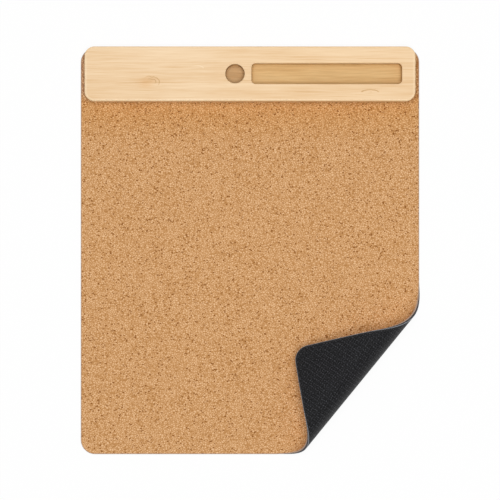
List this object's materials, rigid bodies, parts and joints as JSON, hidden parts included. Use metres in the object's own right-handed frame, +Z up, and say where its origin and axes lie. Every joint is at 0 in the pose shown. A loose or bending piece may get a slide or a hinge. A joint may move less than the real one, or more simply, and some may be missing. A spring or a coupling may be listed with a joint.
{
  "type": "mouse pad",
  "caption": "Flat cork mouse pad on a rubber base, one corner folded over, with a bamboo bar along the rear edge that holds a phone on edge and a pen upright.",
  "frame": {"origin": "middle of the underside of the pad, on the surface that it lies on", "axes": "+X to the right as one sits at the desk, +Y to the bar at the rear, +Z up"},
  "size_m": [0.2003, 0.2401, 0.0225],
  "materials": {
    "rubber": "matt black with a fine embossed grip pattern",
    "cork": "fine-grained pressed cork, bare and matt",
    "adhesive": "double-sided film",
    "bamboo": "sanded pale bamboo under a satin clear coat"
  },
  "bodies": {
    "root": {"rubber_base": "rubber", "cork_sheet": "cork", "bar_adhesive_film": "adhesive", "bamboo_bar": "bamboo"}
  },
  "joints": []
}
